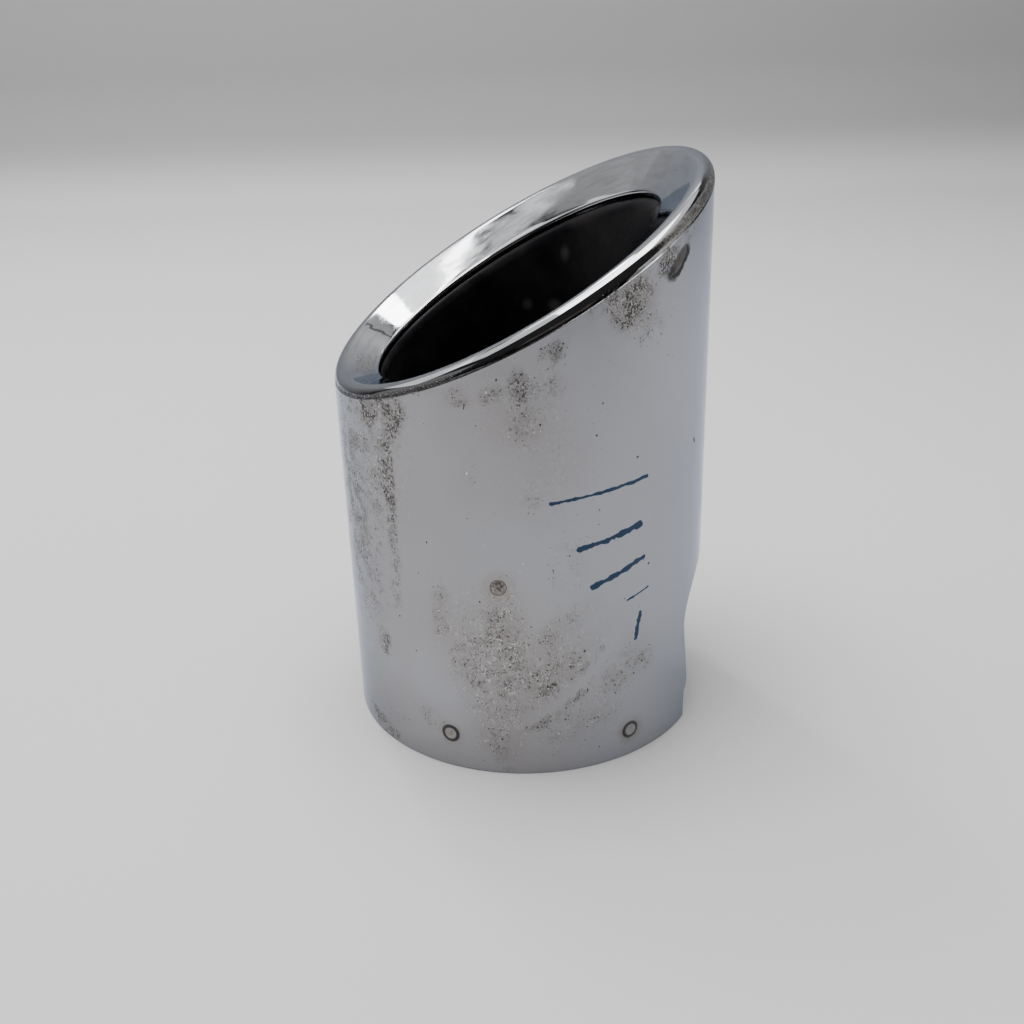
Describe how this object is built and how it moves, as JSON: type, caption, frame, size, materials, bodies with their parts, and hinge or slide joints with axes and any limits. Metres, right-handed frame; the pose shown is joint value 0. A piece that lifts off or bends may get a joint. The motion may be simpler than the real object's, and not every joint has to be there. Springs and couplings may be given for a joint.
{
  "type": "exhaust tip",
  "caption": "Slash-cut chromed exhaust tip with a rolled, funnelled rim, a black inner sleeve that slides over the tailpipe, and a cut-out in its long side.",
  "frame": {"origin": "centre of the base ring, on the plane that the tip stands on", "axes": "+Z along the tube from the base to the rim, +X towards the high side of the slash and the cut-out"},
  "size_m": [0.1, 0.1, 0.1516],
  "materials": {
    "shell_chrome": "dulled chrome with pitting on the wall, bright on the rolled rim",
    "sleeve_black": "black, sooty, half gloss",
    "bracket_steel": "plain pressed steel strip, dull"
  },
  "bodies": {
    "root": {"outer_shell": "shell_chrome", "inner_sleeve": "sleeve_black", "lower_bracket_1": "bracket_steel", "lower_bracket_2": "bracket_steel", "lower_bracket_3": "bracket_steel", "lower_bracket_4": "bracket_steel", "upper_bracket_1": "bracket_steel", "upper_bracket_2": "bracket_steel"}
  },
  "joints": []
}
